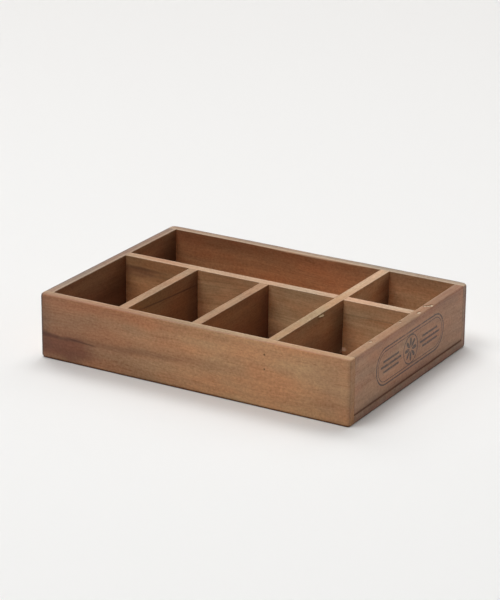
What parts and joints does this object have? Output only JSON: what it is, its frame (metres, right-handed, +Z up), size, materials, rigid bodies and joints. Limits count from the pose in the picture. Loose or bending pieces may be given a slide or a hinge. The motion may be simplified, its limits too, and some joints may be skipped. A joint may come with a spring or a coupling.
{
  "type": "wooden organizer box",
  "caption": "Open rectangular wooden tray box with a long rear bay, a small rear bay and a row of front bays for sorting small things.",
  "frame": {"origin": "middle of the underside", "axes": "+X along the front board to the right-hand end, +Y from the front board to the back board, +Z up"},
  "size_m": [0.28, 0.2, 0.054],
  "materials": {
    "front_wood": "stained, satin",
    "back_wood": "stained, satin",
    "end_wood": "stained, satin",
    "base_wood": "stained, satin",
    "divider_wood": "stained, satin",
    "brad_steel": "blackened"
  },
  "bodies": {
    "root": {"back_base_brad_1": "brad_steel", "back_base_brad_2": "brad_steel", "back_base_brad_3": "brad_steel", "back_base_brad_4": "brad_steel", "back_base_brad_5": "brad_steel", "back_board": "back_wood", "back_cross_brad_1": "brad_steel", "back_cross_brad_2": "brad_steel", "back_left_corner_brad_1": "brad_steel", "back_left_corner_brad_2": "brad_steel", "back_right_corner_brad_1": "brad_steel", "back_right_corner_brad_2": "brad_steel", "base_panel": "base_wood", "cross_divider": "divider_wood", "front_base_brad_1": "brad_steel", "front_base_brad_2": "brad_steel", "front_base_brad_3": "brad_steel", "front_base_brad_4": "brad_steel", "front_base_brad_5": "brad_steel", "front_board": "front_wood", "front_cross_brad_1": "brad_steel", "front_cross_brad_2": "brad_steel", "front_left_corner_brad_1": "brad_steel", "front_left_corner_brad_2": "brad_steel", "front_right_corner_brad_1": "brad_steel", "front_right_corner_brad_2": "brad_steel", "front_short_1_brad_1": "brad_steel", "front_short_1_brad_2": "brad_steel", "front_short_2_brad_1": "brad_steel", "front_short_2_brad_2": "brad_steel", "left_end_board": "end_wood", "left_long_brad_1": "brad_steel", "left_long_brad_2": "brad_steel", "long_divider": "divider_wood", "rear_short_1_brad_1": "brad_steel", "rear_short_1_brad_2": "brad_steel", "rear_short_2_brad_1": "brad_steel", "rear_short_2_brad_2": "brad_steel", "right_end_board": "end_wood", "right_long_brad_1": "brad_steel", "right_long_brad_2": "brad_steel", "short_divider_1": "divider_wood", "short_divider_2": "divider_wood", "under_left_brad_1": "brad_steel", "under_left_brad_2": "brad_steel", "under_left_brad_3": "brad_steel", "under_right_brad_1": "brad_steel", "under_right_brad_2": "brad_steel", "under_right_brad_3": "brad_steel"}
  },
  "joints": []
}
